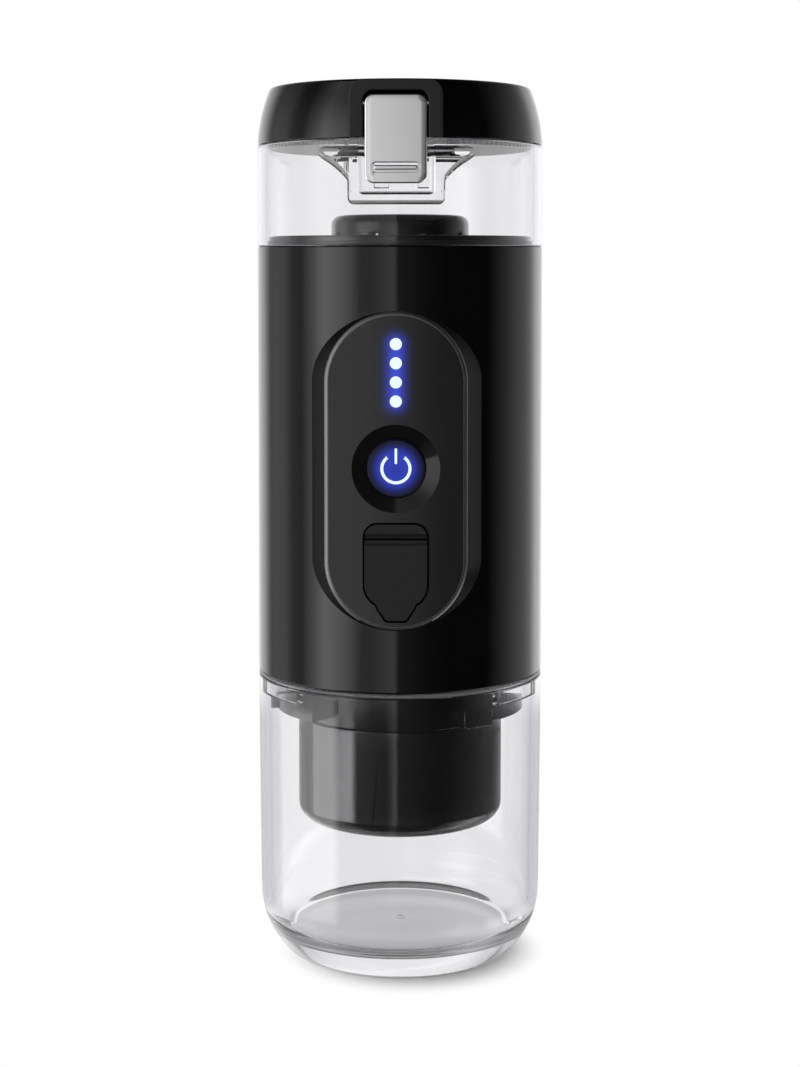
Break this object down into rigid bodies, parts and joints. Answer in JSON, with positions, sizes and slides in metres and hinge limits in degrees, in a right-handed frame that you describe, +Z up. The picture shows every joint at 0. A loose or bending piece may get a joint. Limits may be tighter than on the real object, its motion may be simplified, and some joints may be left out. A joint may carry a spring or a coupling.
{
  "type": "portable coffee machine",
  "caption": "Battery-powered portable capsule coffee machine: clear cup, black housing with panel and button, clear tank, hinged lid with steel latch",
  "frame": {"origin": "centre of the cup's flat foot, on the table", "axes": "+Z up along the machine's axis, front with the button towards -Y, +X to the right seen from the front"},
  "size_m": [0.07, 0.0748, 0.212],
  "materials": {
    "clear_plastic": "clear, polished",
    "clear_silicone": "translucent",
    "gloss_black": "glossy",
    "satin_black": "satin",
    "black_rubber": "matt",
    "lit_white": "lit from behind",
    "satin_steel": "satin",
    "bright_steel": "polished",
    "board_green": "solder mask",
    "chip_white": "matt",
    "grey_plastic": "matt",
    "white_plastic": "matt",
    "cell_wrap": "shrink wrap",
    "magnet_grey": "matt",
    "copper_wound": "enamelled wire",
    "brass": "machined",
    "block_aluminium": "cast",
    "hose_rubber": "matt",
    "red_rubber": "matt"
  },
  "bodies": {
    "cup": {"cup": "clear_plastic"},
    "seal_ring": {"cup_seal": "clear_silicone"},
    "housing": {"housing_sleeve": "gloss_black", "control_panel": "satin_black", "led_lenses": "lit_white", "control_board": "board_green", "board_screws": "bright_steel", "status_leds": "chip_white", "tact_switch": "grey_plastic", "usb_socket": "bright_steel", "usb_cover_anchor": "black_rubber", "battery_cells": "cell_wrap", "battery_holder": "grey_plastic", "battery_tabs": "bright_steel", "motor_can": "bright_steel", "motor_magnets": "magnet_grey", "motor_mount": "black_rubber", "pump_head": "white_plastic", "pump_inlet_hose": "hose_rubber", "pump_outlet_hose": "hose_rubber", "heating_block": "block_aluminium", "heater_band": "brass", "thermostat": "brass", "heater_cover": "white_plastic", "chassis": "grey_plastic", "chassis_screws": "bright_steel", "collar": "gloss_black", "collar_screws": "bright_steel", "group_gasket": "red_rubber", "shower_plate": "bright_steel", "tank": "clear_plastic", "tank_floor": "gloss_black", "tank_seal": "black_rubber", "tank_screws": "bright_steel", "inlet_cap": "gloss_black", "inlet_filter": "bright_steel", "catch_pin": "bright_steel", "hinge_pin": "bright_steel"},
    "lid": {"lid_shell": "gloss_black", "lid_liner": "white_plastic", "lid_seal": "clear_silicone", "latch_bezel": "satin_black", "latch_pin": "bright_steel", "latch_spring": "bright_steel"},
    "latch": {"latch_plate": "satin_steel", "latch_hook": "satin_black"},
    "button": {"button_cap": "satin_black", "button_symbol": "lit_white"},
    "usb_flap": {"usb_cover_flap": "black_rubber"},
    "brew_head": {"brew_head_shell": "gloss_black", "capsule_basket": "grey_plastic", "needle_plate": "bright_steel", "outlet_spout": "satin_black"},
    "rotor": {"motor_rotor": "copper_wound", "pump_eccentric": "brass"}
  },
  "joints": [
    {"name": "machine_lift", "type": "slide", "parent": "cup", "child": "seal_ring", "axis": [0, 0, 1], "range_m": [0, 0.06]},
    {"name": "machine_twist", "type": "hinge", "parent": "seal_ring", "child": "housing", "pos_m": [0, 0, 0.0695], "axis": [0, 0, 1], "range_deg": [0, 24]},
    {"name": "lid_hinge", "type": "hinge", "parent": "housing", "child": "lid", "pos_m": [0, 0.0355, 0.1985], "axis": [-1, 0, 0], "range_deg": [0, 105]},
    {"name": "latch_swing", "type": "hinge", "parent": "lid", "child": "latch", "pos_m": [0, -0.035, 0.206], "axis": [-1, 0, 0], "range_deg": [0, 30], "stiffness_Nm_per_rad": 0.03},
    {"name": "button_press", "type": "slide", "parent": "housing", "child": "button", "axis": [0, 1, 0], "range_m": [0, 0.0008], "stiffness_N_per_m": 1500},
    {"name": "usb_flap_fold", "type": "hinge", "parent": "housing", "child": "usb_flap", "pos_m": [0, -0.0357, 0.1058], "axis": [-1, 0, 0], "range_deg": [0, 130]},
    {"name": "brew_head_twist", "type": "hinge", "parent": "housing", "child": "brew_head", "pos_m": [0, 0, 0.045], "axis": [0, 0, 1], "range_deg": [0, 45]},
    {"name": "motor_spin", "type": "hinge", "parent": "housing", "child": "rotor", "pos_m": [0, -0.006, 0.12], "axis": [0, 0, 1], "continuous": true}
  ]
}
